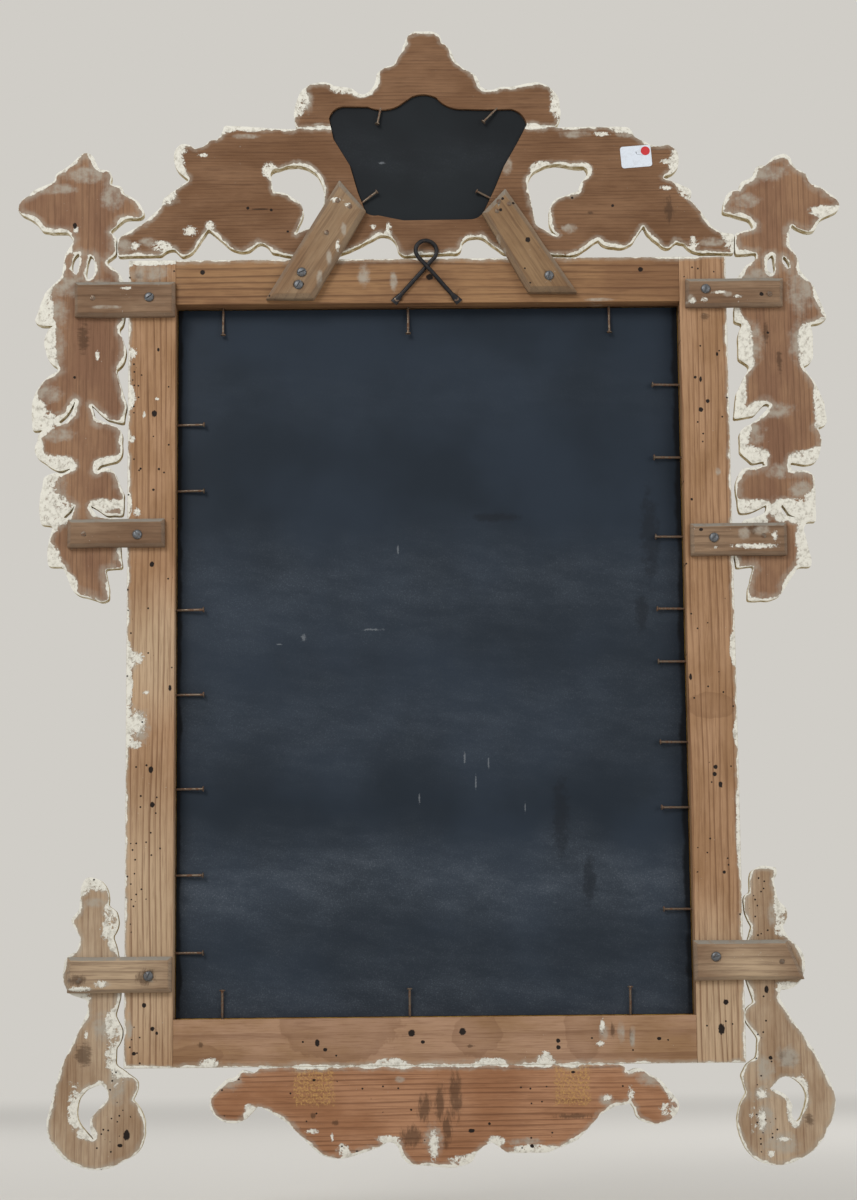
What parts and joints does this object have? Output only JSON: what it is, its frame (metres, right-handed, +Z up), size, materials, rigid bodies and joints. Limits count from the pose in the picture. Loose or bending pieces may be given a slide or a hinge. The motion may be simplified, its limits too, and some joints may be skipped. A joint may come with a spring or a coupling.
{
  "type": "giltwood wall mirror",
  "caption": "Carved giltwood wall mirror with a pierced crest that holds a small shaped mirror, hanging garlands, side scrolls and an apron, hung by an iron loop at its back.",
  "frame": {"origin": "centre of the eye of the iron hanging loop", "axes": "+X to the right as seen from the front, +Y back towards the wall, +Z up; the mirror faces -Y"},
  "size_m": [0.7741, 0.0529, 1.0617],
  "materials": {
    "bare_pine": "matt",
    "water_gilding": "satin",
    "silvered_glass": "polished",
    "rusted_nail_iron": "rough",
    "screw_steel": "satin",
    "forged_iron": "rough",
    "label_paper": "matt",
    "dot_paper": "matt"
  },
  "bodies": {
    "root": {"frame_right_stile": "bare_pine", "frame_left_stile": "bare_pine", "frame_top_rail": "bare_pine", "frame_bottom_rail": "bare_pine", "gilt_moulding_top": "water_gilding", "gilt_moulding_left": "water_gilding", "gilt_moulding_bottom": "water_gilding", "gilt_moulding_right": "water_gilding", "mirror_plate": "silvered_glass", "mirror_plate_nails": "rusted_nail_iron", "crest_main_board": "water_gilding", "crest_right_shoulder": "water_gilding", "crest_left_shoulder": "water_gilding", "crest_centre_block": "water_gilding", "crest_mirror_plate": "silvered_glass", "crest_plate_nails": "rusted_nail_iron", "right_brace": "bare_pine", "left_brace": "bare_pine", "brace_screws": "screw_steel", "brace_nails": "rusted_nail_iron", "right_garland": "water_gilding", "left_garland": "water_gilding", "right_scroll": "water_gilding", "left_scroll": "water_gilding", "apron_board": "water_gilding", "right_upper_batten": "bare_pine", "right_middle_batten": "bare_pine", "right_lower_batten": "bare_pine", "left_upper_batten": "bare_pine", "left_middle_batten": "bare_pine", "left_lower_batten": "bare_pine", "batten_screws": "screw_steel", "batten_nails": "rusted_nail_iron", "hanging_loop": "forged_iron", "hanging_loop_nails": "rusted_nail_iron", "paper_label": "label_paper", "label_dot": "dot_paper"}
  },
  "joints": []
}
